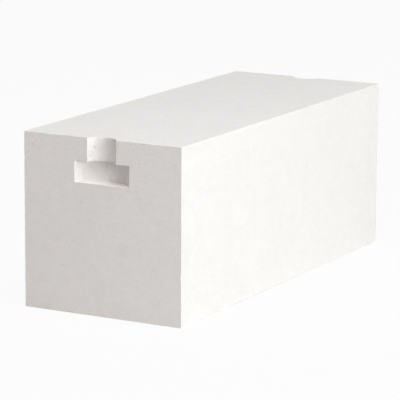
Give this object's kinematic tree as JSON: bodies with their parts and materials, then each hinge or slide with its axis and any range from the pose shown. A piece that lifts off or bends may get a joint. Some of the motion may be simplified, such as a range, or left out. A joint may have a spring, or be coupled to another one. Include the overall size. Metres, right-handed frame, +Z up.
{
  "type": "aerated concrete block",
  "caption": "Pale rectangular lightweight concrete wall block with sharp wire-cut edges and a T-shaped finger-grip pocket in each end, open at the top.",
  "frame": {"origin": "centre of the bottom bed, on the surface the block stands on", "axes": "+X along the length, +Y across the thickness, +Z up to the top bed, where the grip pockets open"},
  "size_m": [0.625, 0.25, 0.25],
  "materials": {
    "aerated_concrete": "matte"
  },
  "bodies": {
    "root": {"block": "aerated_concrete"}
  },
  "joints": []
}
